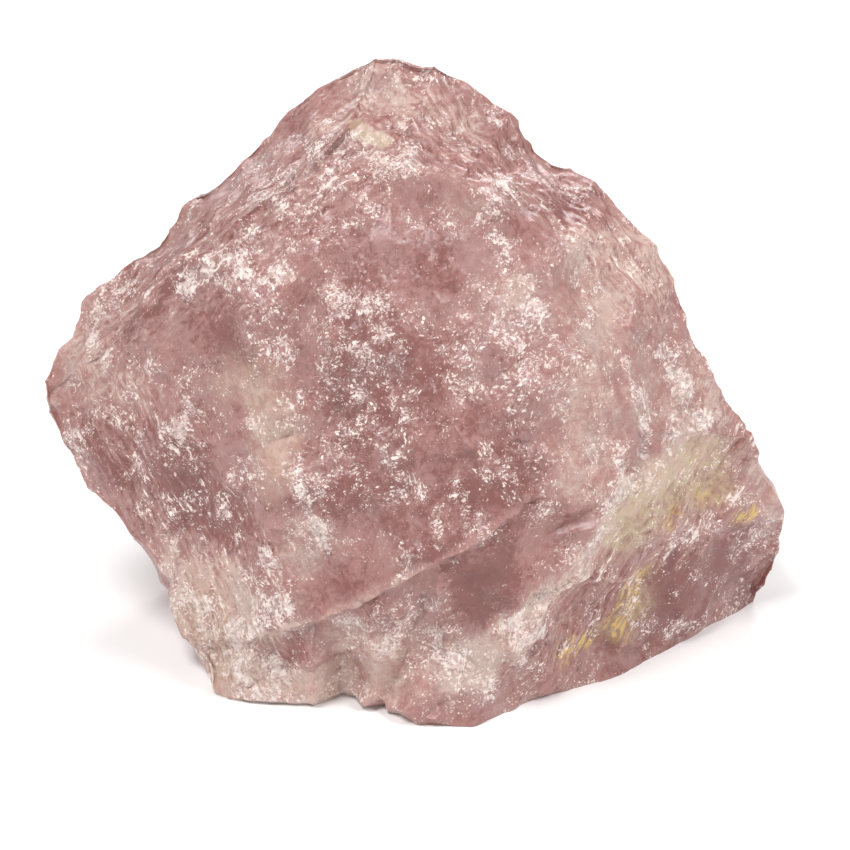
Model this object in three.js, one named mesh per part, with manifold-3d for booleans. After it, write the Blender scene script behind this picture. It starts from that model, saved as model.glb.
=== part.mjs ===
// A rough chunk of rose quartz, about 150 mm wide, standing on a broken base.
//
// The stone is one closed solid. Its shape is a cage of named corners joined by named facets: each facet is
// one fracture face, slightly dished towards its middle. The cage is split into small triangles, its ridges
// are blunted, a random relief roughens it, and the ground plane cuts it flat where it rests.
//
// Millimetres, +Z up. The front is the side that faces -Y, and +X is to its right.
import * as THREE from "three";
import { TessellateModifier } from "three/addons/modifiers/TessellateModifier.js";
import { SimplexNoise } from "three/addons/math/SimplexNoise.js";
import { mergeVertices } from "three/addons/utils/BufferGeometryUtils.js";
import Module from "manifold-3d";

const LONGEST_EDGE = 5.1; // of a triangle
const MOST_SPLITS = 14; // passes that halve each triangle with a longer edge
const MERGE_WITHIN = 1e-3; // vertices closer than this are one
const RIDGE_BLUNTING = 0.28; // share of the way that a vertex moves to the middle of its neighbours
const GROUND_SIZE = 400;
const GROUND_DEPTH = 40;
const RELIEF_SEED = 7;
// Waves of the random relief: length along the surface and height above or below it.
const RELIEF = [
  { length: 26, height: 0.75 },
  { length: 11, height: 0.5 },
  { length: 5.5, height: 0.25 },
];
const ROSE = 0xb98482;

// Corners of the cage. Those of the base lie a little below the ground plane, which cuts them off.
const SUNK = -1.2;
const CORNERS = {
  // The peak, and the crest that falls from it to the left tip.
  peak: [-7, 55, 121.5],
  crest_high: [-15, 57, 115.5],
  crest_upper: [-23.5, 59, 108],
  crest_middle: [-44, 61, 90],
  crest_dip: [-52, 60, 80],
  crest_lower: [-57.5, 59, 77.5],
  crest_low: [-66, 56, 68],
  crest_end: [-74, 52, 57],
  tip: [-76, 50, 50.5],
  // The skyline from the peak down the right side.
  peak_right: [4.5, 56, 118.5],
  cap_high: [19.5, 58, 108],
  cap_dip: [27.5, 58, 99],
  cap_low: [35.5, 54, 95.5],
  shoulder_top: [48.5, 47, 84.5],
  shoulder_side: [54, 45, 71],
  right_middle: [60, 43, 57.5],
  spur: [69.5, 43, 44],
  step: [71.5, 45, 34.5],
  right_corner: [77.5, 49, 23],
  right_low: [78, 52, 12],
  // The undercut left side, from the tip down.
  left_upper: [-68.5, 43, 37],
  left_middle: [-57, 36, 26.5],
  left_lower: [-48.5, 30, 18.5],
  left_ledge: [-46.5, 26, 8.5],
  left_heel: [-40.5, 20, 3.5],
  // The edge below the striated strip.
  ridge_high: [-12, 44, 110],
  ridge_upper: [-22.5, 37, 101],
  ridge_middle: [-34.5, 33, 95],
  ridge_lower: [-46, 37, 81.5],
  ridge_low: [-56.5, 41, 68.5],
  ridge_end: [-69.5, 47, 57],
  // The edge below the cap, and the pale shoulder.
  cap_edge_left: [-3.5, 37, 105],
  cap_edge_middle: [9.5, 34, 103],
  cap_edge_right: [19, 30, 96.5],
  cap_edge_end: [24.5, 27, 87],
  shoulder_left: [33, 34, 90.5],
  shoulder_front: [43, 37, 78.5],
  // The large front face.
  brow_left: [-18.5, 27, 89.5],
  brow_right: [0, 18, 74],
  cheek_left: [-14, 18, 73.5],
  cheek_right: [33, 21, 72],
  belly: [9.5, 10, 60],
  belly_right: [43, 23, 55.5],
  // The left corner of the front face, with the smooth facets over it.
  hollow: [-31, 24, 76],
  fold_outer: [-56.5, 39, 61],
  fold_middle: [-45.5, 30, 54.5],
  fold_inner: [-31, 21, 52.5],
  fold_low: [-22.5, 12.5, 47],
  fold_end: [-16, 9, 31.5],
  flank: [-31.5, 18, 30],
  // The overhanging ledge, from left to right.
  ledge_left: [-29, 13, 16],
  ledge_middle: [-19.5, 8, 20.5],
  ledge_low: [-9.5, 5, 27],
  ledge_high: [5, 4, 37],
  ledge_right: [13.5, 5, 41],
  ledge_end: [22, 7, 46.5],
  // The crushed ridge between the front and the lower right facet.
  seam_high: [55, 32, 43.5],
  seam_upper: [38, 16, 44],
  seam_middle: [35, 13, 39.5],
  seam_lower: [31.5, 12, 29],
  seam_low: [24, 9, 20],
  seam_end: [14.5, 7, 12],
  // The smooth flake scar at the foot, and the lower right facet.
  scar_left: [5, 6, 15],
  scar_right: [19, 9, 27.5],
  slope_right: [61, 38, 26],
  slope_left: [44.5, 27, 21],
  // The back, which falls away from the skyline in a few large faces.
  back_peak: [-2, 72, 112],
  back_high_right: [38, 78, 82],
  back_high_left: [-36, 84, 84],
  back_middle: [8, 97, 58],
  back_right: [66, 76, 36],
  back_left: [-60, 74, 50],
  // The outline of the base, from the left heel round the front.
  foot_left: [-37, 15, SUNK],
  foot_front_left: [-19.5, 12.5, SUNK],
  foot_notch: [-14, 17.5, SUNK],
  foot_front: [-5.5, 12.5, SUNK],
  foot_middle: [0, 6, SUNK],
  foot_toe: [11.5, 4, SUNK],
  foot_front_right: [25.5, 15, SUNK],
  foot_right_edge: [38, 20.5, SUNK],
  foot_right: [51, 32, SUNK],
  foot_right_corner: [73, 55, SUNK],
  foot_back_right: [60, 84, SUNK],
  foot_back: [18, 99, SUNK],
  foot_back_left: [-28, 90, SUNK],
  foot_far_left: [-49, 66, SUNK],
  foot_near_left: [-46, 38, SUNK],
};

// Facets of the cage: the ring of corners, and how deep the middle is dished in.
const FACETS = [
  // The striated strip under the crest.
  { ring: "peak crest_high crest_upper ridge_upper ridge_high", dish: 0.6 },
  { ring: "crest_upper crest_middle ridge_middle ridge_upper", dish: 0.6 },
  { ring: "crest_middle crest_dip crest_lower ridge_lower ridge_middle", dish: 0.8 },
  { ring: "crest_lower crest_low ridge_low ridge_lower", dish: 0.5 },
  { ring: "crest_low crest_end tip ridge_end ridge_low", dish: 0.4 },
  // The cap, right of the peak.
  { ring: "peak ridge_high ridge_upper cap_edge_left peak_right", dish: 0.8 },
  { ring: "peak_right cap_edge_left cap_edge_middle cap_high", dish: 1.0 },
  { ring: "cap_high cap_edge_middle cap_edge_right cap_dip", dish: 1.0 },
  { ring: "cap_dip cap_edge_right shoulder_left cap_low", dish: 0.8 },
  { ring: "cap_edge_right cap_edge_end shoulder_left", dish: 0.4 },
  // The shoulder.
  { ring: "cap_low shoulder_left shoulder_top", dish: 0.4 },
  { ring: "shoulder_left shoulder_front shoulder_side shoulder_top", dish: 0.3 },
  // The right half of the front.
  { ring: "cap_edge_end cheek_right shoulder_front shoulder_left", dish: 1.0 },
  { ring: "shoulder_front cheek_right right_middle shoulder_side", dish: 0.8 },
  { ring: "cheek_right belly_right spur right_middle", dish: 1.0 },
  { ring: "belly_right seam_high spur", dish: 0.5 },
  { ring: "belly_right seam_upper seam_high", dish: 0.6 },
  { ring: "belly ledge_end seam_upper belly_right cheek_right", dish: 1.2 },
  { ring: "cap_edge_right belly cheek_right cap_edge_end", dish: 0.6 },
  { ring: "cap_edge_middle brow_right belly cap_edge_right", dish: 1.0 },
  // The left half of the front.
  { ring: "cap_edge_left brow_left cheek_left brow_right cap_edge_middle", dish: 0.6 },
  { ring: "ridge_upper brow_left cap_edge_left", dish: 0.3 },
  { ring: "ridge_upper ridge_middle hollow brow_left", dish: 0.8 },
  { ring: "ridge_middle ridge_lower hollow", dish: 0.5 },
  { ring: "ridge_lower ridge_low fold_outer hollow", dish: 0.8 },
  { ring: "fold_outer fold_middle fold_inner hollow", dish: 0.6 },
  { ring: "brow_left hollow fold_inner cheek_left", dish: 0.8 },
  { ring: "brow_right cheek_left fold_inner fold_low belly", dish: 0.8 },
  { ring: "belly fold_low fold_end ledge_high", dish: 0.8 },
  { ring: "fold_end ledge_low ledge_high", dish: 0.4 },
  { ring: "belly ledge_high ledge_right ledge_end", dish: 0.5 },
  // The lower left side.
  { ring: "ridge_low ridge_end tip left_upper fold_outer", dish: 0.6 },
  { ring: "fold_outer left_upper left_middle fold_middle", dish: 0.8 },
  { ring: "fold_middle left_middle left_lower fold_inner", dish: 0.8 },
  { ring: "fold_inner left_lower flank fold_low", dish: 0.6 },
  { ring: "flank left_lower left_ledge ledge_left", dish: 0.8 },
  { ring: "flank ledge_left ledge_middle fold_end fold_low", dish: 0.6 },
  { ring: "fold_end ledge_middle ledge_low", dish: 0.3 },
  // The foot, hollowed under the ledge.
  { ring: "left_ledge left_heel foot_left ledge_left", dish: 1.6 },
  { ring: "ledge_left foot_left foot_front_left ledge_middle", dish: 2.2 },
  { ring: "ledge_middle foot_front_left foot_notch foot_front ledge_low", dish: 2.4 },
  { ring: "ledge_low foot_front foot_middle scar_left ledge_high", dish: 2.4 },
  { ring: "ledge_high scar_left scar_right ledge_right", dish: 1.5 },
  { ring: "ledge_right scar_right seam_lower seam_middle seam_upper ledge_end", dish: 1.6 },
  { ring: "scar_left foot_middle foot_toe seam_end", dish: 0.6 },
  { ring: "scar_left seam_end seam_low scar_right", dish: 0.8 },
  { ring: "scar_right seam_low seam_lower", dish: 0.4 },
  // The lower right side.
  { ring: "seam_high slope_right step spur", dish: 0.8 },
  { ring: "seam_high seam_upper seam_middle seam_lower slope_left slope_right", dish: 1.2 },
  { ring: "seam_lower seam_low seam_end foot_toe foot_front_right slope_left", dish: 1.0 },
  { ring: "slope_left foot_front_right foot_right_edge foot_right slope_right", dish: 1.0 },
  { ring: "slope_right foot_right foot_right_corner right_low", dish: 1.0 },
  { ring: "slope_right right_low right_corner step", dish: 0.8 },
  // The back.
  { ring: "peak peak_right back_peak crest_high", dish: 0.4 },
  { ring: "peak_right cap_high cap_dip back_high_right back_peak", dish: 1.0 },
  { ring: "cap_dip cap_low shoulder_top back_high_right", dish: 0.8 },
  { ring: "shoulder_top shoulder_side right_middle back_right back_high_right", dish: 1.4 },
  { ring: "right_middle spur step right_corner back_right", dish: 1.0 },
  { ring: "right_corner right_low foot_right_corner foot_back_right back_right", dish: 1.0 },
  { ring: "back_right foot_back_right foot_back back_middle", dish: 2.5 },
  { ring: "back_peak back_high_right back_right back_middle", dish: 2.0 },
  { ring: "back_peak back_middle back_high_left", dish: 2.0 },
  { ring: "crest_high crest_upper crest_middle back_high_left back_peak", dish: 1.0 },
  { ring: "crest_middle crest_dip crest_lower crest_low back_left back_high_left", dish: 1.2 },
  { ring: "crest_low crest_end tip back_left", dish: 0.6 },
  { ring: "tip left_upper left_middle foot_far_left back_left", dish: 1.2 },
  { ring: "left_middle left_lower left_ledge foot_near_left foot_far_left", dish: 1.2 },
  { ring: "left_ledge left_heel foot_left foot_near_left", dish: 0.5 },
  { ring: "back_high_left back_left back_middle", dish: 1.6 },
  { ring: "back_left foot_far_left foot_back_left back_middle", dish: 2.5 },
  { ring: "back_middle foot_back_left foot_back", dish: 1.5 },
  // The base.
  {
    ring:
      "foot_left foot_front_left foot_notch foot_front foot_middle foot_toe foot_front_right foot_right_edge foot_right " +
      "foot_right_corner foot_back_right foot_back foot_back_left foot_far_left foot_near_left",
    dish: 0,
  },
];

const heart = new THREE.Vector3(0, 50, 48); // a point deep inside, which every facet faces away from

// The triangles of one facet, fanned round its dished middle and facing outwards.
function facetTriangles({ ring, dish }) {
  const corners = ring.split(" ").map((name) => new THREE.Vector3(...CORNERS[name]));
  const middle = new THREE.Vector3();
  corners.forEach((corner) => middle.addScaledVector(corner, 1 / corners.length));
  const normal = new THREE.Vector3();
  corners.forEach((corner, i) => {
    const next = corners[(i + 1) % corners.length];
    normal.add(corner.clone().sub(middle).cross(next.clone().sub(middle)));
  });
  normal.normalize();
  if (normal.dot(middle.clone().sub(heart)) < 0) {
    corners.reverse();
    normal.negate();
  }
  middle.addScaledVector(normal, -dish);
  return corners.flatMap((corner, i) => [middle, corner, corners[(i + 1) % corners.length]]);
}

function cageGeometry() {
  const points = FACETS.flatMap(facetTriangles);
  const cage = new THREE.BufferGeometry().setFromPoints(points);
  const split = new TessellateModifier(LONGEST_EDGE, MOST_SPLITS).modify(cage);
  split.deleteAttribute("normal");
  return mergeVertices(split, MERGE_WITHIN);
}

// The middle of each vertex's neighbours.
function neighbourMiddles(geometry) {
  const { position } = geometry.attributes;
  const around = Array.from({ length: position.count }, () => new Set());
  for (let i = 0; i < geometry.index.count; i += 3) {
    const [a, b, c] = [0, 1, 2].map((k) => geometry.index.getX(i + k));
    around[a].add(b).add(c);
    around[b].add(c).add(a);
    around[c].add(a).add(b);
  }
  const one = new THREE.Vector3();
  return around.map((set) => {
    const middle = new THREE.Vector3();
    set.forEach((j) => middle.addScaledVector(one.fromBufferAttribute(position, j), 1 / set.size));
    return middle;
  });
}

function bluntRidges(geometry) {
  const { position } = geometry.attributes;
  const vertex = new THREE.Vector3();
  neighbourMiddles(geometry).forEach((middle, i) => {
    vertex.fromBufferAttribute(position, i).lerp(middle, RIDGE_BLUNTING);
    position.setXYZ(i, vertex.x, vertex.y, vertex.z);
  });
}

// A repeatable source of random numbers from 0 to 1.
function seeded(seed) {
  let state = seed;
  return () => {
    state = (state * 16807) % 2147483647;
    return state / 2147483647;
  };
}

function roughen(geometry) {
  const noise = new SimplexNoise({ random: seeded(RELIEF_SEED) });
  geometry.computeVertexNormals();
  const { position, normal } = geometry.attributes;
  const vertex = new THREE.Vector3();
  const outwards = new THREE.Vector3();
  for (let i = 0; i < position.count; i++) {
    vertex.fromBufferAttribute(position, i);
    outwards.fromBufferAttribute(normal, i);
    const { x, y, z } = vertex;
    const height = RELIEF.reduce(
      (sum, wave) => sum + wave.height * noise.noise3d(x / wave.length, y / wave.length, z / wave.length),
      0,
    );
    vertex.addScaledVector(outwards, height);
    position.setXYZ(i, vertex.x, vertex.y, vertex.z);
  }
  geometry.deleteAttribute("normal");
}

const wasm = await Module();
wasm.setup();

function solidOf(geometry) {
  const mesh = new wasm.Mesh({
    numProp: 3,
    vertProperties: new Float32Array(geometry.attributes.position.array),
    triVerts: new Uint32Array(geometry.index.array),
  });
  return new wasm.Manifold(mesh);
}

function geometryOf(solid) {
  const { vertProperties, triVerts } = solid.getMesh();
  const geometry = new THREE.BufferGeometry();
  geometry.setAttribute("position", new THREE.BufferAttribute(vertProperties, 3));
  geometry.setIndex(new THREE.BufferAttribute(triVerts, 1));
  return geometry;
}

function groundSolid() {
  const block = new THREE.BoxGeometry(GROUND_SIZE, GROUND_SIZE, GROUND_DEPTH);
  block.translate(0, 0, -GROUND_DEPTH / 2);
  block.deleteAttribute("normal");
  block.deleteAttribute("uv");
  return solidOf(mergeVertices(block, MERGE_WITHIN));
}

function stoneGeometry() {
  const rough = cageGeometry();
  bluntRidges(rough);
  roughen(rough);
  const stone = geometryOf(solidOf(rough).subtract(groundSolid()));
  // The origin is under the middle of the stone's box, on the ground.
  stone.computeBoundingBox();
  const middle = stone.boundingBox.getCenter(new THREE.Vector3());
  stone.translate(-middle.x, -middle.y, -stone.boundingBox.min.z);
  stone.computeVertexNormals();
  return stone;
}

function roseQuartz() {
  return new THREE.MeshStandardMaterial({ color: ROSE, roughness: 0.45, metalness: 0 });
}

const chunk = new THREE.Mesh(stoneGeometry(), roseQuartz());
chunk.name = "rose_quartz_chunk";

const part = new THREE.Group();
part.add(chunk);

export default part;
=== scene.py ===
"""A rough chunk of rose quartz on a pale floor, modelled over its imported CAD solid. Lengths are metres."""
import math
import random

import bmesh
import bpy
import numpy as np
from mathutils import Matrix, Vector, noise
from mathutils.bvhtree import BVHTree


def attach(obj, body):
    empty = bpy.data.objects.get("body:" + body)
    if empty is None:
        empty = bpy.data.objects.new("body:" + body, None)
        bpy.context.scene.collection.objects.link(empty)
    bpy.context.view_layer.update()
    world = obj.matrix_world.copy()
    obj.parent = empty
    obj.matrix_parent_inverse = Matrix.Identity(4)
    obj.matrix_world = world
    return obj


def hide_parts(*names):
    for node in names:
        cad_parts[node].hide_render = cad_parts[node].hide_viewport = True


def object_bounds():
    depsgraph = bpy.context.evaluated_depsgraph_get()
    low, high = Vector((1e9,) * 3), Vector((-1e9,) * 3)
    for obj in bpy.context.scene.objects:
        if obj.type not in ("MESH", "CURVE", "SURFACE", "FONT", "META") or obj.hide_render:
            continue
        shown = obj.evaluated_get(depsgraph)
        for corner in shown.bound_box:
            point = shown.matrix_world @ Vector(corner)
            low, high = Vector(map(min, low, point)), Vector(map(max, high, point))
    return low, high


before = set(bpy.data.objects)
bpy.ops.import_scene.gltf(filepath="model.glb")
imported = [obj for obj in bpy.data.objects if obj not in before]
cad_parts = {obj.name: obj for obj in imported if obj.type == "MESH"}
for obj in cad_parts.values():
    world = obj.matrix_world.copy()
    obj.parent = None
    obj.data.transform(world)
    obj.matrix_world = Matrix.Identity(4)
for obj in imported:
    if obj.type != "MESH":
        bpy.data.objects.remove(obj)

bl_info = {
    "name": "Rose Quartz Chunk",
    "version": (1, 0, 0),
    "blender": (4, 5, 0),
    "location": "View3D > Sidebar > Stone",
    "description": "Breaks the faces of a rough quartz solid into chips and gives it a cloudy pink finish",
    "category": "Object",
}

CAD_LOW, CAD_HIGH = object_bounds()
NODE = "rose_quartz_chunk"
MM = 0.001


# ---------------------------------------------------------------------------
# Settings
# ---------------------------------------------------------------------------


class StoneShape(bpy.types.PropertyGroup):
    """How the broken surface is shaped"""

    splits: bpy.props.IntProperty(
        name="Splits", description="Cuts along each edge of the solid's triangles",
        default=3, min=1, max=3,
    )
    facet_smoothing: bpy.props.IntProperty(
        name="Facet smoothing", description="Smoothing passes inside each fracture face",
        default=4, min=0,
    )
    ridge_sharpness: bpy.props.FloatProperty(
        name="Ridge sharpness", description="How far ridges and grooves are drawn out again",
        default=0.55, min=0,
    )
    scallop_size: bpy.props.FloatProperty(
        name="Scallop size", description="Width of the large shell-like breaks",
        default=15 * MM, subtype="DISTANCE",
    )
    scallop_depth: bpy.props.FloatProperty(
        name="Scallop depth", description="Depth of the large breaks",
        default=2.4 * MM, subtype="DISTANCE",
    )
    chip_size: bpy.props.FloatProperty(
        name="Chip size", description="Width of the small chips",
        default=6 * MM, subtype="DISTANCE",
    )
    chip_depth: bpy.props.FloatProperty(
        name="Chip depth", description="Depth of the small chips",
        default=1.3 * MM, subtype="DISTANCE",
    )
    hackle_size: bpy.props.FloatProperty(
        name="Hackle size", description="Width of the finest splinters",
        default=2.4 * MM, subtype="DISTANCE",
    )
    hackle_depth: bpy.props.FloatProperty(
        name="Hackle depth", description="Height of the finest splinters",
        default=0.32 * MM, subtype="DISTANCE",
    )
    rib_depth: bpy.props.FloatProperty(
        name="Rib depth", description="Height of the ribs along the grain",
        default=0.5 * MM, subtype="DISTANCE",
    )
    crest_height: bpy.props.FloatProperty(
        name="Crest height", description="How far the sharp ridges stand out",
        default=0.45 * MM, subtype="DISTANCE",
    )
    wear: bpy.props.FloatProperty(
        name="Wear", description="How much the whole surface is worn back",
        default=0.6 * MM, subtype="DISTANCE",
    )
    ledge_depth: bpy.props.FloatProperty(
        name="Ledge depth", description="How far the stone steps back under its ledge",
        default=1.3 * MM, subtype="DISTANCE",
    )


class StoneFinish(bpy.types.PropertyGroup):
    """Colours and gloss of the quartz"""

    deep_rose: bpy.props.FloatVectorProperty(
        name="Deep rose", description="Clear, dark body",
        subtype="COLOR", size=3, min=0, max=1, default=(0.250, 0.096, 0.085),
    )
    rose: bpy.props.FloatVectorProperty(
        name="Rose", description="Body colour",
        subtype="COLOR", size=3, min=0, max=1, default=(0.405, 0.206, 0.187),
    )
    pale_rose: bpy.props.FloatVectorProperty(
        name="Pale rose", description="Cloudy, paler body",
        subtype="COLOR", size=3, min=0, max=1, default=(0.590, 0.410, 0.350),
    )
    # Crushed whitish quartz, which also serves as painted glints where chips would catch the light.
    frost: bpy.props.FloatVectorProperty(
        name="Frost", description="Crushed, whitish quartz",
        subtype="COLOR", size=3, min=0, max=1, default=(0.92, 0.80, 0.745),
    )
    smoke: bpy.props.FloatVectorProperty(
        name="Smoke", description="Tint of the smoky patches",
        subtype="COLOR", size=3, min=0, max=2, default=(0.95, 1.02, 1.05),
    )
    haze: bpy.props.FloatVectorProperty(
        name="Haze", description="Greyish bloom round the white specks",
        subtype="COLOR", size=3, min=0, max=1, default=(0.60, 0.42, 0.395),
    )
    sand: bpy.props.FloatVectorProperty(
        name="Sand", description="Weak iron stain",
        subtype="COLOR", size=3, min=0, max=1, default=(0.56, 0.44, 0.28),
    )
    ochre: bpy.props.FloatVectorProperty(
        name="Ochre", description="Strong iron stain in the cracks",
        subtype="COLOR", size=3, min=0, max=1, default=(0.66, 0.45, 0.14),
    )
    roughness: bpy.props.FloatProperty(
        name="Roughness", description="Gloss of the clean breaks",
        default=0.36, min=0, max=1,
    )
    depth_of_light: bpy.props.FloatProperty(
        name="Light depth", description="How far light goes into the stone",
        default=3 * MM, subtype="DISTANCE",
    )


class StoneStudio(bpy.types.PropertyGroup):
    """Camera, floor and lights"""

    elevation: bpy.props.FloatProperty(
        name="Elevation", description="Height of the camera over the horizon",
        default=math.radians(25), subtype="ANGLE",
    )
    distance: bpy.props.FloatProperty(
        name="Distance", description="From the camera to the point it looks at",
        default=0.5, subtype="DISTANCE",
    )
    lens: bpy.props.FloatProperty(
        name="Lens", description="Focal length in millimetres",
        default=104.5, min=10,
    )
    floor_size: bpy.props.FloatProperty(
        name="Floor size", description="Side of the square floor",
        default=6.0, subtype="DISTANCE",
    )
    daylight: bpy.props.FloatProperty(
        name="Daylight", description="Strength of the even white surroundings",
        default=0.26, min=0,
    )


# ---------------------------------------------------------------------------
# Where the stone's marks are
# ---------------------------------------------------------------------------

# The ledge: points (x, z) in millimetres across the front.
LEDGE = ((-42, 8), (-30, 16), (-20, 21), (-10, 28), (0, 34), (9, 39), (15, 43), (21, 48))

# Each mark runs across the front from point to point, given as (x, z) in millimetres, and fades out
# within its reach, also in millimetres.  The last number is its strength.
MARKS = {
    "frost": (
        # Crushed white quartz and painted glints: the first three marks lie where chips facing up and left
        # catch the light.
        (((-21, 62), (-15, 60), (-14, 54)), 6, 0.5),
        (((-35, 85), (-31, 79), (-28, 72)), 6, 0.9),
        (((-32, 86), (-32, 91)), 4, 0.7),
        (((-44, 80),), 3.5, 1.2),
        (((-6, 81),), 4, 0.9),
        (((-23, 94),), 5, 0.8),
        (((-16, 91), (-12, 86)), 5, 0.6),
        (((-9, 77), (-3, 68)), 5, 0.5),
        (((0, 62), (4, 62)), 4, 0.5),
        (((4, 97),), 3, 1.0),
        (((14, 96), (17, 91)), 2.5, 1.0),
        (((18, 83), (20, 78)), 4.5, 0.8),
        (((14, 76), (17, 70)), 5, 0.5),
        (((12, 69), (16, 64)), 5, 0.6),
        (((31, 77), (30, 69)), 5, 0.5),
        (((50, 66), (55, 55), (58, 51)), 3, 1.6),
        (((51, 51),), 2.5, 2.0),
        (((45, 50), (45, 55)), 2.5, 1.8),
        (((34, 46),), 3, 1.5),
        (((37, 43), (42, 45)), 4, 1.4),
        (((7, 12), (13, 8)), 4, 1.4),
        (((-9, 18), (-1, 26)), 5, 1.2),
        (((2, 15), (7, 21)), 4, 1.3),
        (((21, 13), (25, 16)), 4, 1.3),
        (((-65, 67), (-61, 72)), 4, 1.2),
        (((-42, 10), (-33, 16), (-27, 23), (-21, 25)), 3, 1.6),
        (((-22, 48), (-20, 43), (-18, 38), (-17, 35), (-16, 32)), 1.6, 2.2),
        (((36, 36), (32, 30), (26, 24), (20, 18)), 3, 1.2),
        (((-14, 108), (-25, 101), (-35, 93)), 3, 0.6),
        (((-48, 17), (-45, 11), (-40, 6)), 6, 1.2),
        (((-34, 22), (-30, 30)), 4, 0.8),
        (((-37, 9), (-33, 5)), 4, 1.5),
        (((-28, 10), (-24, 5)), 3, 1.2),
        (((-12, 4),), 4, 1.0),
        (((-36, 3), (-26, 2), (-14, 3)), 3, 0.9),
    ),
    "milk": (
        (((-58, 50), (-66, 54)), 12, 0.8),
        (((-71, 58), (-68, 62)), 4, 1.0),
        (((-40, 20), (-34, 18), (-36, 4)), 9, 1.7),
        (((-12, 40), (-8, 36)), 6, 0.7),
        (((33, 54), (37, 57)), 7, 0.9),
        (((-32, 4), (-12, 3)), 6, 1.9),
        (((-24, 26), (-24, 36), (-14, 38)), 6, 0.8),
        (((34, 82), (33, 65), (34, 50)), 8, 1.1),
        (((-3, 28), (3, 30)), 4, 0.8),
        (((11, 100),), 6, 0.6),
        (((-58, 67), (-48, 71)), 6, 0.5),
        (((-33, 66), (-27, 59), (-27, 50)), 6, 0.7),
        (((33, 91), (43, 88), (48, 80), (36, 80)), 7, 1.3),
        (((18, 83),), 6, 1.0),
        (((33, 75), (54, 53)), 12, 0.6),
        (((44, 42), (36, 36), (32, 30), (26, 24), (19, 17), (9, 10)), 5, 1.6),
        (((-12, 17), (-4, 10), (-14, 4)), 8, 1.2),
        (((41, 41), (48, 44), (56, 47)), 6, 1.4),
        (((-14, 108), (-25, 101), (-40, 87), (-62, 67)), 3, 0.5),
        (((-47, 21), (-46, 16), (-43, 8)), 6, 1.6),
        (((-14, 112), (-4, 116), (8, 112)), 8, 1.0),
        (((52, 68), (56, 56), (60, 50)), 8, 0.7),
        # A thin pale line along the ledge's lip: painted highlight where the edge catches the light.
        (LEDGE, 1.6, 1.1),
        (((-13, 111), (-11, 109), (-9, 108), (-6, 108)), 1.4, 4.0),
        (((-4, 10), (5, 19)), 7, 0.8),
    ),
    "deep": (
        (((-8, 60),), 7, 1.0),
        (((-35, 70),), 4, 0.6),
        (((-19, 106), (-29, 98), (-36, 93), (-46, 82), (-57, 69)), 2.2, 0.8),
        # Darker in the smooth scar under the ledge's right end.
        (((11, 25), (15, 34), (18, 40)), 6, 0.8),
        (((-64, 44), (-49, 44), (-40, 36)), 9, 1.0),
        (((-14, 45), (0, 50), (9, 54)), 10, 0.6),
        (((3, 43), (13, 46)), 9, 0.7),
        (((43, 11), (60, 14), (69, 15)), 9, 1.0),
        (((26, 96), (38, 91)), 5, 0.8),
        # Under the ledge: painted shade where the stone steps back beneath the overhang.
        (((-30, 11), (-20, 16), (-10, 23), (0, 29), (9, 34), (17, 40)), 3, 0.5),
        (((-9, 77), (0, 68), (-12, 66)), 8, 0.7),
        (((15, 60), (18, 48)), 8, 0.6),
        (((-20, 52), (-26, 44)), 6, 0.5),
    ),
    "smooth": (
        (((-53, 70), (-44, 73), (-38, 74)), 7, 1.0),
        (((-21, 26), (-8, 32)), 5, 1.0),
        (((-8, 90), (5, 87)), 7, 1.0),
        (((11, 25), (15, 34)), 6, 1.0),
    ),
    "sand": (
        (((43, 36), (50, 40), (60, 38)), 8, 1.3),
        (((-33, 66), (-27, 59), (-27, 50)), 6, 0.4),
        (((-13, 111), (-11, 109), (-9, 108), (-6, 108)), 1.4, 1.0),
        (((46, 18), (42, 10)), 5, 0.9),
        (((-44, 14), (-38, 8)), 7, 0.5),
    ),
    "ochre": (
        (((67, 27),), 3, 1.3),
        (((45, 20), (41, 10)), 3.5, 1.3),
        (((30, 9), (35, 9)), 2.5, 1.1),
        (((51, 32),), 3, 0.8),
        (((58, 35),), 3, 0.6),
    ),
    "strip": ((((-13, 110), (-35, 94), (-60, 68)), 13, 1.0),),
    "slant": ((((-58, 48), (-44, 34), (-34, 22), (-36, 6)), 15, 1.0),),
    "cap": ((((6, 108), (30, 94), (47, 80)), 13, 1.0),),
    "flow": ((((28, 16), (45, 28), (62, 42)), 16, 1.0),),
}

# Sharp ridges: points (x, z) in millimetres across the front.
CRESTS = (
    ((-8, 120), (-10, 116), (-13, 110), (-21, 101), (-29, 97), (-35, 94), (-43, 85), (-56, 71), (-66, 62)),
    ((-23, 101), (-13, 105), (-4, 104), (6, 103), (13, 101), (18, 96), (21, 90), (25, 87)),
    ((66, 46), (53, 43), (43, 45)),
    ((32, 30), (26, 24), (19, 17), (9, 10)),
)
CREST_REACH = 2.5 * MM

# The way the quartz splits in four parts of the stone.
GRAIN = {
    "strip": Vector((-0.74, 0.06, -0.67)),
    "slant": Vector((0.48, -0.35, -0.80)),
    "cap": Vector((0.61, -0.36, -0.71)),
    "flow": Vector((0.51, 0.34, 0.79)),
}

# How many marks of each kind are strewn over the sides the list above leaves bare, and their mean reach.
STREWN = {
    "frost": (34, 5),
    "milk": (16, 12),
    "deep": (14, 10),
    "smooth": (8, 8),
    "sand": (4, 7),
    "ochre": (4, 3),
    "strip": (3, 14),
    "slant": (3, 14),
    "cap": (3, 14),
    "flow": (3, 14),
}
STREWN_SEED = 11
STREWN_FACING = 0.05  # a face whose normal's Y is over this is turned away from the front
STREWN_LOWEST = 1 * MM  # and no mark starts nearer to the base than this


# ---------------------------------------------------------------------------
# Masks over the surface
# ---------------------------------------------------------------------------

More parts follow.
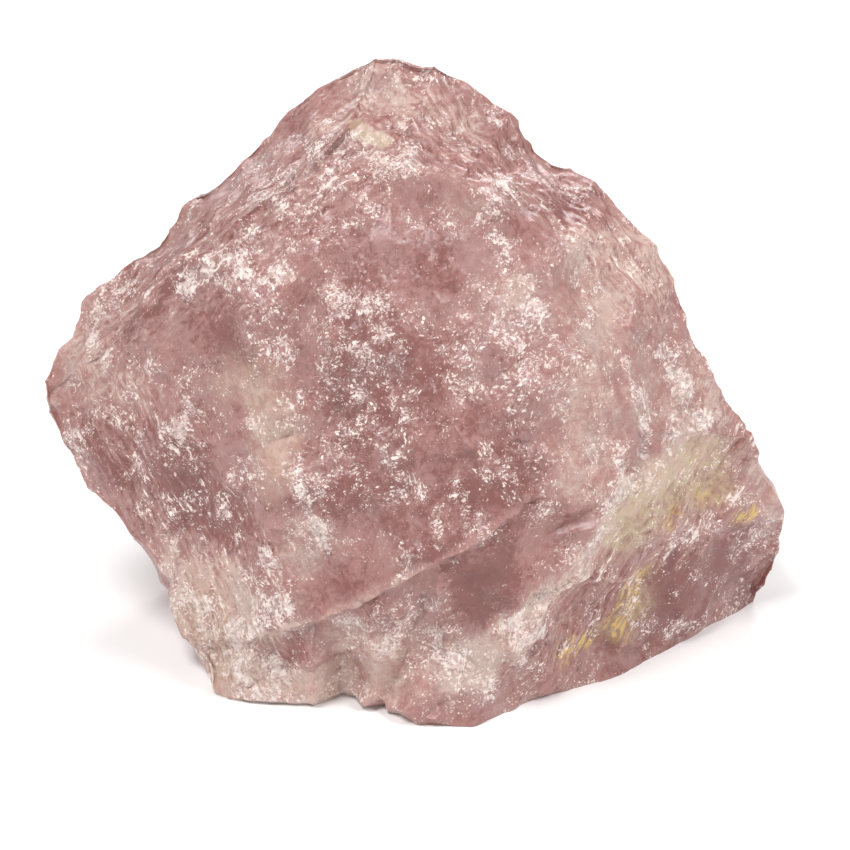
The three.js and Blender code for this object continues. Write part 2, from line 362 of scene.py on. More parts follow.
SWAY_SHIFTS = (Vector((0, 0, 0)), Vector((7, 3, 5)), Vector((2, 9, 4)))
MARK_SWAY_SIZE = 6 * MM
MARK_SWAY_MOST = 4  # in millimetres
MARK_SWAY_SHARE = 0.7  # of a narrow mark's reach
MARK_EDGE = 1.4  # a mark is gone at this many times its reach, and whole at one reach less


def sway(place):
    """Three slow noises at a place, as a vector."""
    return Vector([noise.noise(place + shift) for shift in SWAY_SHIFTS])


def front_points(tree, places):
    """The points of the stone's front at these (x, z) places, in metres."""
    points = []
    for x, z in places:
        hit = tree.ray_cast(Vector((x * MM, CAD_LOW.y - 0.1, z * MM)), Vector((0, 1, 0)))[0]
        if hit is None:
            raise RuntimeError(f"no stone at x {x}, z {z}")
        points.append(hit)
    return points


def distance_to_line(points, line):
    """Distance of each point to a run of straight lines, and the nearest place on it."""
    best = np.full(len(points), np.inf)
    nearest = np.zeros_like(points)
    ends = line if len(line) > 1 else line * 2
    for start, end in zip(ends, ends[1:]):
        along = np.array(end - start)
        share = np.clip((points - np.array(start)) @ along / max(along @ along, 1e-12), 0, 1)
        spot = np.array(start) + share[:, None] * along
        distance = np.linalg.norm(points - spot, axis=1)
        closer = distance < best
        best = np.where(closer, distance, best)
        nearest = np.where(closer[:, None], spot, nearest)
    return best, nearest


def strewn_lines(bm, kind):
    """Short marks on faces turned away from the front, the same on every run."""
    count, mean_reach = STREWN[kind]
    pick = random.Random(f"{kind} {STREWN_SEED}")
    away = [f for f in bm.faces if f.normal.y > STREWN_FACING and f.calc_center_median().z > STREWN_LOWEST]
    areas = [f.calc_area() for f in away]
    lines = []
    for face in pick.choices(away, weights=areas, k=count):
        middle = face.calc_center_median()
        along = face.normal.cross(Vector([pick.uniform(-1, 1) for _ in range(3)])).normalized()
        length = mean_reach * pick.uniform(0.3, 1.2) * MM
        reach = mean_reach * pick.uniform(0.7, 1.3)
        strength = pick.uniform(0.6, 1)
        lines.append(([middle, middle + along * length], reach, strength))
    return lines


def mask_values(bm, tree, points):
    """For each kind of mark, how strong it is at each point; 0 is none of it."""
    sways = np.array([sway(Vector(p) / MARK_SWAY_SIZE) for p in points]) * MM
    values = {}
    for kind, marks in MARKS.items():
        lines = [(front_points(tree, places), reach, strength) for places, reach, strength in marks]
        total = np.zeros(len(points))
        for line, reach, strength in lines + strewn_lines(bm, kind):
            ragged = points + sways * min(MARK_SWAY_MOST, MARK_SWAY_SHARE * reach)
            distance, _ = distance_to_line(ragged, line)
            share = np.clip(MARK_EDGE - distance / (reach * MM), 0, 1)
            total = np.maximum(total, strength * share * share * (3 - 2 * share))
        values[kind] = total
    return values


# ---------------------------------------------------------------------------
# The broken surface
# ---------------------------------------------------------------------------

MERGE_DISTANCE = 0.001 * MM
BASE_TOLERANCE = 0.01 * MM
BASE_FADE = 3 * MM
SHARP = math.radians(14)  # a bend over this is a ridge and stays
CREASE = math.radians(32)  # a bend over this is drawn sharp
SHARPEN_PASSES = 4

RELIEF_SWAY_SIZE = 7 * MM
RELIEF_SWAY = 2.0 * MM
ROUGH_PATCH = 12 * MM
ROUGH_MEAN = 0.6
ROUGH_SWING = 0.6
ROUGH_FROST_AND_GLINTS = 0.3
ROUGH_CLEARED = 0.85
DISH_UNEVENNESS = 0.4
DISH_MEAN = 0.42
SPLINTER_TILT = 1.8
CELL_STEP = 7.3  # spreads the centres of the cells, so that each one draws its own number
RIB_WIDTH = 1.8 * MM
RIB_LENGTH = 14 * MM
FINE_RIB = 0.5
FINE_RIB_STEP = 2.1
RIB_MEAN = 0.6
# Shifts that keep the patterns of the three sizes of break apart.
SCALLOP_SHIFT = Vector((3.1, 0.7, 5.2))
CHIP_SHIFT = Vector((1.9, 4.4, 0.3))
HACKLE_SHIFT = Vector((0.2, 2.5, 7.7))

LEDGE_NEAR = 1 * MM
LEDGE_FAR = 9 * MM
LEDGE_LIP = (-1.2 * MM, 0.3 * MM)
LEDGE_RETURN = 4 * MM  # how fast the stone comes forward again under the ledge
LEDGE_DROP = 1.35  # in ledge depths
LEDGE_RISE = 0.35


def loose_copy_merged(node):
    """A bmesh of the solid's surface with its loose triangles joined up."""
    bm = bmesh.new()
    bm.from_mesh(node.data)
    bmesh.ops.remove_doubles(bm, verts=bm.verts, dist=MERGE_DISTANCE)
    return bm


def on_base(vert):
    return vert.co.z < BASE_TOLERANCE


def clear_of_base(height):
    """0 at the base, 1 from a little above it."""
    return min(height / BASE_FADE, 1)


def inside_box(co):
    """The point moved, if need be, into the solid's own box."""
    return Vector([min(max(c, low), high) for c, low, high in zip(co, CAD_LOW, CAD_HIGH)])


def smooth_once(bm, verts):
    bmesh.ops.smooth_vert(bm, verts=verts, factor=0.5, use_axis_x=True, use_axis_y=True, use_axis_z=True)


def smooth_inside_facets(bm, passes):
    """Smooth each fracture face and leave its ridges."""
    soft = [
        v
        for v in bm.verts
        if not on_base(v) and all(e.is_manifold and e.calc_face_angle() < SHARP for e in v.link_edges)
    ]
    for _ in range(passes):
        smooth_once(bm, soft)


def sharpen_ridges(bm, amount):
    """Push every point away from where smoothing would put it: ridges stand out and grooves deepen."""
    soft = bm.copy()
    for _ in range(SHARPEN_PASSES):
        smooth_once(soft, soft.verts)
    moved = [
        inside_box(vert.co + (vert.co - smooth.co) * amount * clear_of_base(vert.co.z))
        for vert, smooth in zip(bm.verts, soft.verts)
    ]
    soft.free()
    for vert, co in zip(bm.verts, moved):
        vert.co = co


def scallop_height(place):
    """Height of dishes of uneven depth that meet in ridges, at a place measured in dishes."""
    distances, centres = noise.voronoi(place)
    dishes = [
        distance * distance + DISH_UNEVENNESS * noise.cell(centre * CELL_STEP)
        for distance, centre in zip(distances, centres)
    ]
    return min(dishes) - DISH_MEAN


def splinter_height(place):
    """Height of flat splinters, each tilted its own way, at a place measured in splinters."""
    centre = noise.voronoi(place)[1][0]
    tilt = noise.cell_vector(centre * CELL_STEP) - Vector((0.5, 0.5, 0.5))
    return tilt.dot(place - centre) * SPLINTER_TILT


def rib_height(point, way):
    """Height of ribs that run one way, at a point."""
    along = point.dot(way)
    place = (point - way * along) / RIB_WIDTH + way * (along / RIB_LENGTH)
    return 1 - 2 * abs(noise.noise(place)) + FINE_RIB * noise.noise(place * FINE_RIB_STEP) - RIB_MEAN


def relief(point, masks, shape):
    """How far the surface stands out at a point, and how near it is to the rim of a chip."""
    ragged = point + sway(point / RELIEF_SWAY_SIZE) * RELIEF_SWAY
    rough = ROUGH_MEAN + ROUGH_SWING * noise.noise(point / ROUGH_PATCH) + ROUGH_FROST_AND_GLINTS * masks["frost"]
    rough *= 1 - ROUGH_CLEARED * masks["smooth"]
    chip = scallop_height(ragged / shape.chip_size + CHIP_SHIFT)
    height = scallop_height(ragged / shape.scallop_size + SCALLOP_SHIFT) * shape.scallop_depth
    height += chip * shape.chip_depth * rough
    height += splinter_height(ragged / shape.hackle_size + HACKLE_SHIFT) * shape.hackle_depth * rough
    for kind, way in GRAIN.items():
        if masks[kind] > 0:
            height += rib_height(point, way) * shape.rib_depth * masks[kind]
    return height, chip * rough


def eased(values, low, high):
    """0 up to the low value, 1 from the high one, and a smooth rise between."""
    share = np.clip((values - low) / (high - low), 0, 1)
    return share * share * (3 - 2 * share)


def ledge_step(points, tree, depth):
    """The stone stands out over the ledge and steps back under it."""
    distance, nearest = distance_to_line(points, front_points(tree, LEDGE))
    over = points[:, 2] - nearest[:, 2]
    fade = 1 - eased(distance, LEDGE_NEAR, LEDGE_FAR)
    under = -LEDGE_DROP * (1 - eased(over, *LEDGE_LIP)) * np.exp(np.minimum(over, 0) / LEDGE_RETURN)
    return (under + LEDGE_RISE) * fade * depth


def crests(points, tree, height):
    """How far the sharp ridges stand out at each point."""
    total = np.zeros(len(points))
    for places in CRESTS:
        distance, _ = distance_to_line(points, front_points(tree, places))
        total = np.maximum(total, height * np.exp(-distance / CREST_REACH))
    return total


def break_surface(bm, tree, masks, shape):
    """Move the surface into its relief; returns how near each point is to the rim of a chip."""
    bm.normal_update()
    points = np.array([v.co for v in bm.verts])
    heights = []
    rims = []
    for number, vert in enumerate(bm.verts):
        here = {kind: values[number] for kind, values in masks.items()}
        height, rim = relief(vert.co, here, shape)
        heights.append(height)
        rims.append(rim)
    heights = np.array(heights) - np.mean(heights) - shape.wear
    heights += ledge_step(points, tree, shape.ledge_depth) + crests(points, tree, shape.crest_height)
    for vert, height in zip(bm.verts, heights):
        vert.co = inside_box(vert.co + vert.normal * height * clear_of_base(vert.co.z))
    return rims


def shade(bm):
    """Smooth shading, with creases drawn sharp."""
    for face in bm.faces:
        face.smooth = True
    for edge in bm.edges:
        edge.smooth = edge.calc_face_angle() < CREASE


# Part of the unit square each side of the stone is laid out in: left, bottom, width, height.
CHARTS = {
    (1, -1): (0, 0, 0.55, 0.44),
    (1, 1): (0, 0.44, 0.55, 0.38),
    (2, -1): (0, 0.82, 0.55, 0.18),
    (0, -1): (0.55, 0, 0.225, 0.44),
    (0, 1): (0.775, 0, 0.225, 0.44),
    (2, 1): (0.55, 0.44, 0.45, 0.38),
}
CHART_MARGIN = 0.008


def unwrap(bm):
    """Lay the surface out as the six sides of a box round the stone's middle."""
    layer = bm.loops.layers.uv.new("OFBake")
    middle = (CAD_LOW + CAD_HIGH) / 2
    half = (CAD_HIGH - CAD_LOW) / 2
    for face in bm.faces:
        out = [(c - m) / h for c, m, h in zip(face.calc_center_median(), middle, half)]
        axis = max(range(3), key=lambda i: abs(out[i]))
        left, bottom, width, height = CHARTS[axis, 1 if out[axis] > 0 else -1]
        across, up = [i for i in range(3) if i != axis]
        for loop in face.loops:
            ray = [(c - m) / h for c, m, h in zip(loop.vert.co, middle, half)]
            u = 0.5 + math.atan(ray[across] / abs(ray[axis])) / (math.pi / 2)
            v = 0.5 + math.atan(ray[up] / abs(ray[axis])) / (math.pi / 2)
            loop[layer].uv = (
                left + CHART_MARGIN + u * (width - 2 * CHART_MARGIN),
                bottom + CHART_MARGIN + v * (height - 2 * CHART_MARGIN),
            )


def make_stone(shape):
    """The detailed mesh, with a value for each kind of mark at each of its points."""
    bm = loose_copy_merged(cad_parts[NODE])
    bmesh.ops.recalc_face_normals(bm, faces=bm.faces)
    smooth_inside_facets(bm, shape.facet_smoothing)
    sharpen_ridges(bm, shape.ridge_sharpness)
    bm.normal_update()
    tree = BVHTree.FromBMesh(bm)
    coarse = bm.copy()
    bmesh.ops.subdivide_edges(bm, edges=bm.edges, cuts=shape.splits, use_grid_fill=True)
    bmesh.ops.triangulate(bm, faces=[f for f in bm.faces if len(f.verts) > 3])
    masks = mask_values(coarse, tree, np.array([v.co for v in bm.verts]))
    coarse.free()
    masks["rim"] = break_surface(bm, tree, masks, shape)
    bm.normal_update()
    shade(bm)
    unwrap(bm)
    mesh = bpy.data.meshes.new("stone")
    bm.to_mesh(mesh)
    bm.free()
    for kind, values in masks.items():
        mesh.attributes.new(kind, "FLOAT", "POINT").data.foreach_set("value", values)
    return mesh


# ---------------------------------------------------------------------------
# Measures of the finish
# ---------------------------------------------------------------------------

# All sizes here are millimetres, and tone goes from 0, dark and clear, to 1, pale and cloudy.
# A range is a low and a high value of what is read, then what they become, if not 0 and 1.
RAGGED_SIZE = 5
RAGGED_PUSH = 3
TONE_SIZE = 16
TONE_SPREAD = 0.5
TONE_LEAST = 0.20
TONE_SWINGS = ((5, 0.65, 0.7), (1.3, 0.80, 1.0))  # size, roughness, weight
# Dark marks darken the tone, among them the painted shade under the ledge; pale marks pale it, among them the
# painted highlight along the ledge's lip.
TONE_MARKS = {"milk": 0.28, "deep": -0.32, "smooth": -0.12}
TONE_GRAIN = 1.6
TONE_STEPS = (0.15, 0.5, 0.95)  # deep, middle and pale rose
SMOKE_SIZE = 8
SMOKE_RANGE = (0.42, 0.64)

GRAIN_WIDTH = 0.9
GRAIN_LENGTH = 7
STAIN_CLOUD_SIZE = 2
STAIN_CLOUD_RANGE = (0.3, 0.7, 0.1, 0.8)
STAIN_CRACK_LENGTH = 5
STAIN_CRACK_RANGE = (0.48, 0.60)

PATCH_SIZE = 6  # of a patch of like grain or like density
DENSITY_RANGE = (0.36, 0.68, 0.04, 0.56)
RIM_RANGE = (-0.1, 0.25, -0.08, 0.22)
HAZE_RANGE = (0.2, 0.9, 0.0, 0.30)
FROST_AND_GLINT_DENSITY = 0.25
SMOOTH_CLEARS = 0.9
SPECK_CLOUD_SIZE = 1.2
SPECK_CLOUD_RANGE = (0.36, 0.58, 0.55, 1.0)
SPLINTER_SIZE = 0.7
SPLINTER_PUSH = 0.9
FLAKE_SIZE = 2.4
FLAKE_SHARE = 0.6
FLAKE_STRETCH = 1.3
FLAKE_WHITENESS = 0.6
FLAKE_LIMITS = (0.72, 0.46)  # what a noise has to pass at density 0 and at density 1
FLAKE_EDGE = 32
CHIP_LAYERS = ((1.0, 0.4), (0.6, 0.7), (0.36, 1.0))  # size, share of the density
CHIP_STRETCH = 1.8
CHIP_LIMITS = (1.0, 0.45)  # what a cell's own number has to pass at density 0 and at density 1
CHIP_FILL = 4
CHIP_EDGE = 9
CHIP_SPREAD = 0.1
CHIP_DULL_SHARE = 0.6
CHIP_DULLEST = 0.45
DUST_SIZE = 0.45
DUST_STRETCH = 1.8
DUST_EXTRA = 0.08
DUST_CLOUD_SIZE = 2.2
DUST_CLOUD_RANGE = (0.36, 0.56, 0.25, 1.0)
STROKE_EXTRA = 0.07
THREAD_SIZE = 1.6
THREAD_WIDTH = 0.012
THREAD_RANGE = (0.1, 0.6)
SPECK_SHEEN = 0.15
PIT_LAYERS = ((1.4, 0.25), (0.6, 0.5))  # size, height
PIT_RANGE = (0.40, 0.62, 0.12, 0.7)


# ---------------------------------------------------------------------------
# Shader nodes
# ---------------------------------------------------------------------------


def connect(tree, value, socket):
    """Feed an input by a link, or set it to a plain value."""
    if isinstance(value, bpy.types.NodeSocket):
        tree.links.new(value, socket)
    else:
        socket.default_value = value


def add(tree, kind, values=None, **settings):
    """A new node with these settings, its inputs fed by sockets or set to plain values."""
    node = tree.nodes.new(kind)
    for name, value in settings.items():
        setattr(node, name, value)
    for key, value in (values or {}).items():
        connect(tree, value, node.inputs[key])
    return node


def maths(tree, operation, *values, clamp=False):
    node = add(tree, "ShaderNodeMath", dict(enumerate(values)), operation=operation, use_clamp=clamp)
    return node.outputs[0]


def plus(tree, first, second):
    return maths(tree, "ADD", first, second)


def minus(tree, first, second):
    return maths(tree, "SUBTRACT", first, second)


def times(tree, first, second):
    return maths(tree, "MULTIPLY", first, second)


def vector_maths(tree, operation, *values, output="Vector"):
    node = add(tree, "ShaderNodeVectorMath", dict(enumerate(values)), operation=operation)
    return node.outputs[output]


def scaled(tree, vector, factor):
    node = add(tree, "ShaderNodeVectorMath", {"Vector": vector, "Scale": factor}, operation="SCALE")
    return node.outputs["Vector"]


def stretched(tree, place, stretch):
    """The place squeezed along X, so that what is drawn there is that much longer."""
    return vector_maths(tree, "MULTIPLY", place, (1 / stretch, 1, 1))


def noise_node(tree, place, size, detail=2.0, roughness=0.5, distortion=0.0):
    """A noise texture whose lumps are about that many millimetres across."""
    values = {
        "Vector": place,
        "Scale": 1 / size,
        "Detail": detail,
        "Roughness": roughness,
        "Distortion": distortion,
    }
    return add(tree, "ShaderNodeTexNoise", values)


def lumps(tree, place, size, detail=2.0, roughness=0.5, distortion=0.0):
    return noise_node(tree, place, size, detail, roughness, distortion).outputs["Fac"]


def cells(tree, place, size):
    """Cells about that many millimetres across, each with its own colour."""
    return add(tree, "ShaderNodeTexVoronoi", {"Vector": place, "Scale": 1 / size, "Randomness": 1.0})


def ramp(tree, value, low, high, to_low=0.0, to_high=1.0, shape="SMOOTHSTEP"):
    """The value taken from one range to another, and held at its ends."""
    values = {"Value": value, "From Min": low, "From Max": high, "To Min": to_low, "To Max": to_high}
    return add(tree, "ShaderNodeMapRange", values, interpolation_type=shape).outputs["Result"]


def blend(tree, factor, first, second, mode="MIX"):
    """Two colours mixed, each a socket or a plain colour."""
    node = add(tree, "ShaderNodeMix", {0: factor}, data_type="RGBA", blend_type=mode)
    for colour, socket in ((first, node.inputs[6]), (second, node.inputs[7])):
        plain = not isinstance(colour, bpy.types.NodeSocket)
        connect(tree, (*colour, 1) if plain else colour, socket)
    return node.outputs[2]


def mask(tree, kind):
    return add(tree, "ShaderNodeAttribute", attribute_name=kind).outputs["Fac"]


# ---------------------------------------------------------------------------
# Patterns, in millimetres
# ---------------------------------------------------------------------------


def warped(tree, place, size, amount):
    """The place pushed about by a noise, so that what is drawn there is ragged."""
    push = noise_node(tree, place, size).outputs["Color"]
    centred = vector_maths(tree, "SUBTRACT", push, (0.5, 0.5, 0.5))
    return vector_maths(tree, "ADD", place, scaled(tree, centred, amount))


def turned(tree, place, patch_size):
    """The place turned a different way in each patch of the stone."""
    turn = scaled(tree, cells(tree, place, patch_size).outputs["Color"], 2 * math.pi)
    values = {"Vector": place, "Rotation": turn}
    return add(tree, "ShaderNodeVectorRotate", values, rotation_type="EULER_XYZ").outputs["Vector"]


def over_limit(tree, speckle, density):
    """White where a noise passes a limit: nowhere to half the surface as the density goes from 0 to 1."""
    limit = ramp(tree, density, 0, 1, *FLAKE_LIMITS, shape="LINEAR")
    return maths(tree, "MULTIPLY", minus(tree, speckle, limit), FLAKE_EDGE, clamp=True)


def flakes(tree, place, size, density, stretch=1.0, detail=3.0):
    """Ragged white flakes and specks."""
    speckle = lumps(tree, stretched(tree, place, stretch), size, detail, roughness=0.7, distortion=0.4)
    return over_limit(tree, speckle, density)


def chips(tree, place, size, density):
    """Angular white chips: random cells, of which more are picked and filled as the density grows."""
    chip = cells(tree, stretched(tree, place, CHIP_STRETCH), size)
    chance = add(tree, "ShaderNodeSeparateColor", {"Color": chip.outputs["Color"]})
    limit = ramp(tree, density, 0, 1, *CHIP_LIMITS, shape="LINEAR")
    fill = plus(tree, times(tree, minus(tree, chance.outputs["Red"], limit), CHIP_FILL), CHIP_SPREAD)
    reach = minus(tree, fill, chip.outputs["Distance"])
    edge = maths(tree, "MULTIPLY", reach, CHIP_EDGE, clamp=True)
    return times(tree, edge, ramp(tree, chance.outputs["Green"], 0.0, CHIP_DULL_SHARE, CHIP_DULLEST, 1.0))


def threads(tree, place, size, width):
    """Thin curling lines: where a noise passes through its middle value."""
    level = minus(tree, lumps(tree, place, size, 2, 0.5, 1.0), 0.5)
    return ramp(tree, maths(tree, "ABSOLUTE", level), width, 0.0)


def streaks(tree, place, way, width, length):
    """Noise drawn out one way."""
    along = vector_maths(tree, "DOT_PRODUCT", place, tuple(way), output="Value")
    extra = scaled(tree, tuple(way), times(tree, along, 1 / length - 1 / width))
    drawn = vector_maths(tree, "ADD", scaled(tree, place, 1 / width), extra)
    return lumps(tree, drawn, 1.0, 3, 0.6)


def chip_slopes(tree, place, size):
    """Height of small flat chips, each tilted its own way."""
    chip = cells(tree, place, size)
    tilt = vector_maths(tree, "SUBTRACT", chip.outputs["Color"], (0.5, 0.5, 0.5))
    offset = vector_maths(tree, "SUBTRACT", place, chip.outputs["Position"])
    return vector_maths(tree, "DOT_PRODUCT", tilt, offset, output="Value")


# ---------------------------------------------------------------------------
# Quartz
# ---------------------------------------------------------------------------


def swing(tree, value, weight):
    """A noise made to swing either side of 0."""
    return times(tree, minus(tree, value, 0.5), weight)


def body_tone(tree, ragged, grain_lines):
    tone = plus(tree, times(tree, lumps(tree, ragged, TONE_SIZE, 3), TONE_SPREAD), TONE_LEAST)
    for size, roughness, weight in TONE_SWINGS:
        tone = plus(tree, tone, swing(tree, lumps(tree, ragged, size, 4, roughness), weight))
    for kind, weight in TONE_MARKS.items():
        tone = plus(tree, tone, times(tree, mask(tree, kind), weight))
    for kind, lines in grain_lines.items():
        tone = plus(tree, tone, times(tree, swing(tree, lines, TONE_GRAIN), mask(tree, kind)))
    return tone


def body_colour(tree, finish, tone, ragged):
    low, middle, high = TONE_STEPS
    body = blend(tree, ramp(tree, tone, low, middle), finish.deep_rose, finish.rose)
    body = blend(tree, ramp(tree, tone, middle, high), body, finish.pale_rose)
    smoky = ramp(tree, lumps(tree, ragged, SMOKE_SIZE, 3, 0.6), *SMOKE_RANGE)
    return blend(tree, smoky, body, finish.smoke, "MULTIPLY")


def iron_stained(tree, finish, body, ragged):
    """The body with a sandy bloom, and ochre in cracks that follow the grain."""
    cloud = ramp(tree, lumps(tree, ragged, STAIN_CLOUD_SIZE, 4, 0.7), *STAIN_CLOUD_RANGE)
    body = blend(tree, times(tree, mask(tree, "sand"), cloud), body, finish.sand)
    lines = streaks(tree, ragged, GRAIN["flow"], GRAIN_WIDTH, STAIN_CRACK_LENGTH)
    cracks = ramp(tree, lines, *STAIN_CRACK_RANGE)
    return blend(tree, times(tree, mask(tree, "ochre"), cracks), body, finish.ochre)


def speck_density(tree, ragged):
    """How thickly white specks lie, crushed quartz and painted glints alike: about 0 for hardly any, 1 for
    half of the surface.
    """
    density = ramp(tree, lumps(tree, ragged, PATCH_SIZE, 4, 0.7), *DENSITY_RANGE)
    density = plus(tree, density, times(tree, mask(tree, "frost"), FROST_AND_GLINT_DENSITY))
    density = plus(tree, density, ramp(tree, mask(tree, "rim"), *RIM_RANGE))
    return times(tree, density, minus(tree, 1, times(tree, mask(tree, "smooth"), SMOOTH_CLEARS)))


def dust(tree, grain, ragged, density):
    clouds = ramp(tree, lumps(tree, ragged, DUST_CLOUD_SIZE, 3, 0.7), *DUST_CLOUD_RANGE)
    specks_and_glints = flakes(tree, grain, DUST_SIZE, plus(tree, density, DUST_EXTRA), DUST_STRETCH, 2.0)
    return times(tree, specks_and_glints, clouds)


def white_specks_and_glints(tree, place, ragged, density, grain_lines):
    """Flakes, chips, dust, strokes along the grain and hair cracks, each as white as it is crushed; they also
    serve as painted glints.
    """
    grain = turned(tree, ragged, PATCH_SIZE)
    splintered = warped(tree, grain, SPLINTER_SIZE, SPLINTER_PUSH)
    large = flakes(tree, ragged, FLAKE_SIZE, times(tree, density, FLAKE_SHARE), FLAKE_STRETCH)
    layers = [times(tree, large, FLAKE_WHITENESS)]
    for size, share in CHIP_LAYERS:
        layers.append(chips(tree, splintered, size, times(tree, density, share)))
    layers.append(dust(tree, grain, ragged, density))
    for kind, lines in grain_lines.items():
        strokes = over_limit(tree, lines, plus(tree, density, STROKE_EXTRA))
        layers.append(times(tree, strokes, mask(tree, kind)))
    hairs = threads(tree, grain, THREAD_SIZE, THREAD_WIDTH)
    layers.append(times(tree, hairs, ramp(tree, density, *THREAD_RANGE)))
    specks_and_glints = layers[0]
    for layer in layers[1:]:
        specks_and_glints = maths(tree, "MAXIMUM", specks_and_glints, layer)
    return times(tree, specks_and_glints, ramp(tree, lumps(tree, place, SPECK_CLOUD_SIZE), *SPECK_CLOUD_RANGE))


def pit_normal(tree, place):
    """The normal tilted by chips too fine for the mesh, mostly where the quartz is crushed."""
    crushed = ramp(tree, lumps(tree, place, PATCH_SIZE, 1), *PIT_RANGE)
    height = 0.0
    for size, weight in PIT_LAYERS:
        height = plus(tree, height, times(tree, chip_slopes(tree, place, size), weight))
    height = times(tree, height, plus(tree, crushed, mask(tree, "frost")))
    bump = add(tree, "ShaderNodeBump", {"Height": height, "Strength": 1.0, "Distance": MM})
    return bump.outputs["Normal"]


def quartz_material(finish):
    material = bpy.data.materials.new("rose quartz")
    material.use_nodes = True
    tree = material.node_tree
    shader = tree.nodes["Principled BSDF"]
    place = scaled(tree, add(tree, "ShaderNodeTexCoord").outputs["Object"], 1 / MM)
    ragged = warped(tree, place, RAGGED_SIZE, RAGGED_PUSH)
    grain_lines = {kind: streaks(tree, ragged, way, GRAIN_WIDTH, GRAIN_LENGTH) for kind, way in GRAIN.items()}

    body = body_colour(tree, finish, body_tone(tree, ragged, grain_lines), ragged)
    body = iron_stained(tree, finish, body, ragged)
    density = speck_density(tree, ragged)
    specks_and_glints = white_specks_and_glints(tree, place, ragged, density, grain_lines)
    body = blend(tree, ramp(tree, density, *HAZE_RANGE), body, finish.haze)
    # White specks painted into the colour: crushed quartz, and painted glints.
    body = blend(tree, specks_and_glints, body, finish.frost)
    tree.links.new(body, shader.inputs["Base Color"])
    tree.links.new(plus(tree, times(tree, specks_and_glints, SPECK_SHEEN), finish.roughness), shader.inputs["Roughness"])
    tree.links.new(pit_normal(tree, place), shader.inputs["Normal"])

    shader.inputs["IOR"].default_value = 1.54
    shader.inputs["Subsurface Weight"].default_value = 0.28
    shader.inputs["Subsurface Radius"].default_value = (1.0, 0.6, 0.55)
    shader.inputs["Subsurface Scale"].default_value = finish.depth_of_light
    return material


# ---------------------------------------------------------------------------
# Operators
# ---------------------------------------------------------------------------


class STONE_OT_chunk(bpy.types.Operator):
    """Model the quartz chunk over its CAD solid"""

    bl_idname = "stone.chunk"
    bl_label = "Rose quartz chunk"

    def execute(self, context):
        scene = context.scene
        mesh = make_stone(scene.stone_shape)
        chunk = bpy.data.objects.new("rose_quartz", mesh)
        scene.collection.objects.link(chunk)
        mesh.materials.append(quartz_material(scene.stone_finish))
        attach(chunk, "root")
        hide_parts(NODE)
        return {"FINISHED"}


# From the middle of the solid's box to the point that the camera looks at, in millimetres.
AIM_SHIFT = (2.0, -6.1, -14.4)

# Place in metres, width in metres and brightness of each soft light.
LIGHTS = {
    "key": ((-0.30, -0.45, 1.10), 0.36, 24),
    "window": ((0.75, -0.35, 0.85), 0.34, 22),
    "front": ((-0.25, -1.05, 0.45), 0.22, 10),
    "left": ((-1.00, -0.10, 0.60), 0.28, 12),
    "back": ((0.35, 0.95, 0.75), 0.40, 12),
    "back left": ((-0.60, 0.85, 0.60), 0.30, 10),
}


def soft_light(name, place, target, width, brightness):
    """A round area light; brightness is the radiance of its face."""
    data = bpy.data.lights.new(name, "AREA")
    data.shape = "DISK"
    data.size = width
    data.energy = brightness * math.pi * math.pi * width * width / 4
    light = bpy.data.objects.new(name, data)
    light.location = place
    light.rotation_euler = (target - Vector(place)).to_track_quat("-Z", "Y").to_euler()
    return light


def paper_floor(size):
    """A square of white paper under the stone."""
    bm = bmesh.new()
    bmesh.ops.create_grid(bm, x_segments=1, y_segments=1, size=size / 2)
    mesh = bpy.data.meshes.new("floor")
    bm.to_mesh(mesh)
    bm.free()
    paper = bpy.data.materials.new("white paper")
    paper.use_nodes = True
    shader = paper.node_tree.nodes["Principled BSDF"]
    shader.inputs["Base Color"].default_value = (0.95, 0.95, 0.95, 1)
    shader.inputs["Roughness"].default_value = 0.8
    mesh.materials.append(paper)
    return bpy.data.objects.new("floor", mesh)


def even_daylight(strength):
    world = bpy.data.worlds.new("daylight")
    world.use_nodes = True
    background = world.node_tree.nodes["Background"]
    background.inputs["Color"].default_value = (1, 1, 1, 1)
    background.inputs["Strength"].default_value = strength
    return world


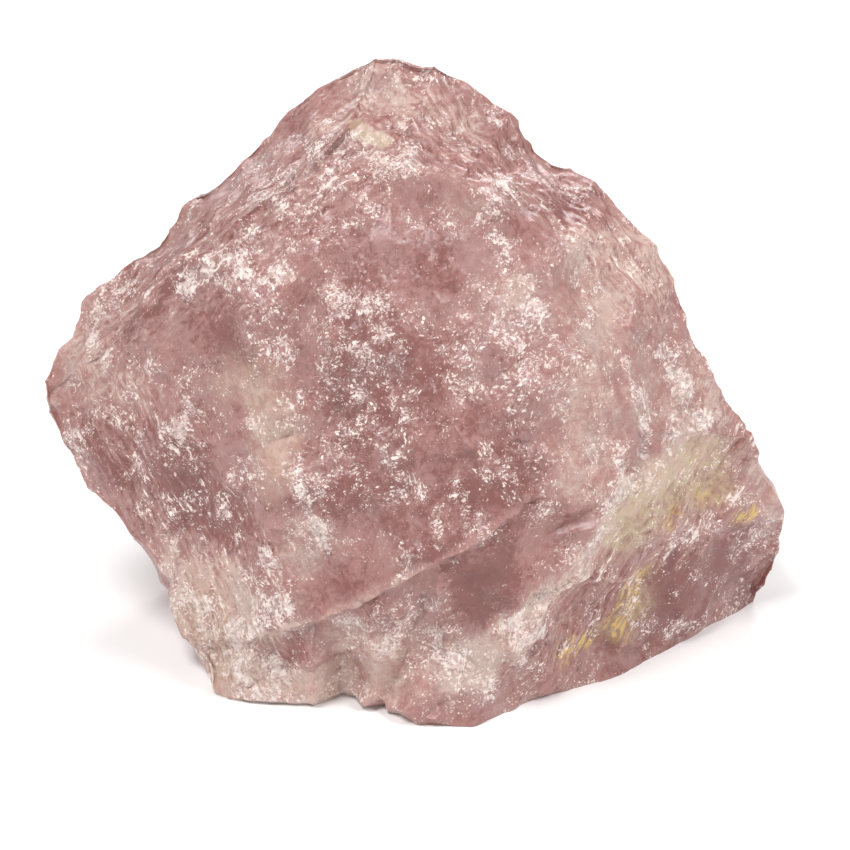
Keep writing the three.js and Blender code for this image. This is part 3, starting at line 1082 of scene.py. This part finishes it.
def camera_on(aim, studio):
    """A camera that looks down at that point from the front."""
    back = Vector((0, -math.cos(studio.elevation), math.sin(studio.elevation)))
    data = bpy.data.cameras.new("camera")
    data.lens = studio.lens
    data.clip_start = 0.01
    camera = bpy.data.objects.new("camera", data)
    camera.location = aim + back * studio.distance
    camera.rotation_euler = (-back).to_track_quat("-Z", "Y").to_euler()
    return camera


class STONE_OT_studio(bpy.types.Operator):
    """Make the floor, the lights and the camera"""

    bl_idname = "stone.studio"
    bl_label = "Studio"

    def execute(self, context):
        scene = context.scene
        studio = scene.stone_studio
        middle = (CAD_LOW + CAD_HIGH) / 2
        floor = paper_floor(studio.floor_size)
        scene.collection.objects.link(floor)
        for name, (place, width, brightness) in LIGHTS.items():
            scene.collection.objects.link(soft_light(name, place, middle, width, brightness))
        scene.world = even_daylight(studio.daylight)
        aim = Vector([c + shift * MM for c, shift in zip(middle, AIM_SHIFT)])
        scene.camera = camera_on(aim, studio)
        scene.collection.objects.link(scene.camera)
        scene.view_settings.view_transform = "Standard"
        return {"FINISHED"}


class STONE_PT_panel(bpy.types.Panel):
    """The stone's settings and steps"""

    bl_label = "Rose Quartz"
    bl_space_type = "VIEW_3D"
    bl_region_type = "UI"
    bl_category = "Stone"

    def draw(self, context):
        for group in (context.scene.stone_shape, context.scene.stone_finish, context.scene.stone_studio):
            box = self.layout.box()
            for name in group.__annotations__:
                box.prop(group, name)
        for step in STEPS:
            self.layout.operator(step.bl_idname)


SETTINGS = {"stone_shape": StoneShape, "stone_finish": StoneFinish, "stone_studio": StoneStudio}
STEPS = (STONE_OT_chunk, STONE_OT_studio)
CLASSES = (*SETTINGS.values(), *STEPS, STONE_PT_panel)


def register():
    for cls in CLASSES:
        bpy.utils.register_class(cls)
    for name, group in SETTINGS.items():
        setattr(bpy.types.Scene, name, bpy.props.PointerProperty(type=group))


def unregister():
    for name in SETTINGS:
        delattr(bpy.types.Scene, name)
    for cls in reversed(CLASSES):
        bpy.utils.unregister_class(cls)


def main():
    register()
    bpy.ops.stone.chunk()
    bpy.ops.stone.studio()


if __name__ == "__main__":
    main()
